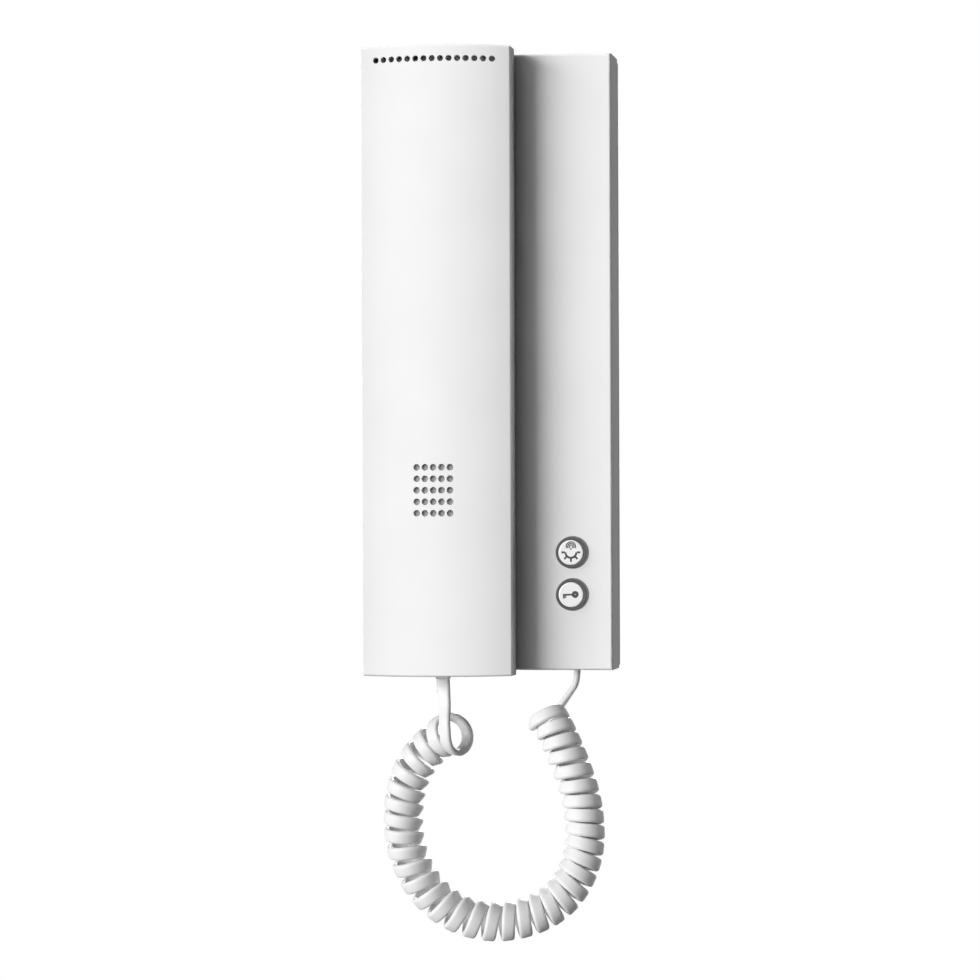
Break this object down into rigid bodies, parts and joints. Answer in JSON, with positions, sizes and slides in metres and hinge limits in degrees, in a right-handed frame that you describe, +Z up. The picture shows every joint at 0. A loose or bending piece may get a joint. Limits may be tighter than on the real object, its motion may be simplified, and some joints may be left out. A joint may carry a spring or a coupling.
{
  "type": "audio intercom handset",
  "caption": "White wall-mounted audio door phone: flat base with push buttons, crowned lift-off handset and a curly cord that joins the two at the bottom.",
  "frame": {"origin": "centre of the base's outline on the wall, which is the back face of the wall plate", "axes": "+X to the viewer's right along the wall, +Y into the wall, +Z up; the front faces -Y"},
  "size_m": [0.0834, 0.0459, 0.3013],
  "materials": {
    "shell_white": "satin moulded white ABS",
    "plate_grey": "moulded dark grey ABS",
    "ring_dark": "moulded dark grey",
    "cap_white": "smooth white",
    "cord_pvc": "soft PVC",
    "board_green": "solder mask",
    "terminal_green": "moulded",
    "steel": "zinc plated",
    "black_plastic": "moulded",
    "rubber": "soft silicone",
    "copper_wire": "enamelled winding",
    "felt": "felt",
    "cone_paper": "pressed paper",
    "plug_clear": "translucent polycarbonate",
    "can_blue": "sleeved can"
  },
  "bodies": {
    "base": {"wall_plate": "plate_grey", "base_housing": "shell_white", "housing_screw": "steel", "main_board": "board_green", "board_screws": "steel", "terminal_block": "terminal_green", "terminal_screws": "steel", "control_chip": "black_plastic", "capacitors": "can_blue", "bus_choke": "copper_wire", "call_sounder": "black_plastic", "base_jack": "black_plastic", "base_plug": "plug_clear", "light_ring": "ring_dark", "door_ring": "ring_dark", "light_dome": "rubber", "door_dome": "rubber", "hook_spring": "steel", "hook_switch": "black_plastic", "handset_lead": "cord_pvc", "curly_cord": "cord_pvc", "base_lead": "cord_pvc"},
    "handset": {"handset_front": "shell_white", "handset_rear": "shell_white", "handset_screws": "steel", "earpiece_frame": "black_plastic", "earpiece_cone": "cone_paper", "earpiece_magnet": "steel", "earpiece_gasket": "rubber", "microphone": "steel", "microphone_boot": "rubber", "speech_felt": "felt", "handset_jack": "black_plastic", "handset_plug": "plug_clear"},
    "hook_plunger": {"hook_plunger": "shell_white"},
    "light_button": {"light_button": "cap_white"},
    "door_button": {"door_button": "cap_white"}
  },
  "joints": [
    {"name": "handset_lift", "type": "slide", "parent": "base", "child": "handset", "axis": [0, -0.866, 0.5], "range_m": [0, 0.06], "deforming": ["handset_lead", "curly_cord", "base_lead"]},
    {"name": "plunger_slide", "type": "slide", "parent": "base", "child": "hook_plunger", "axis": [0, -1, 0], "range_m": [0, 0.004], "deforming": ["hook_spring"]},
    {"name": "light_press", "type": "slide", "parent": "base", "child": "light_button", "axis": [0, 1, 0], "range_m": [0, 0.0012], "stiffness_N_per_m": 900, "deforming": ["light_dome"]},
    {"name": "door_press", "type": "slide", "parent": "base", "child": "door_button", "axis": [0, 1, 0], "range_m": [0, 0.0012], "stiffness_N_per_m": 900, "deforming": ["door_dome"]}
  ],
  "couplings": [
    {"joint": "plunger_slide", "follows": "handset_lift", "ratio": 0.066667}
  ]
}
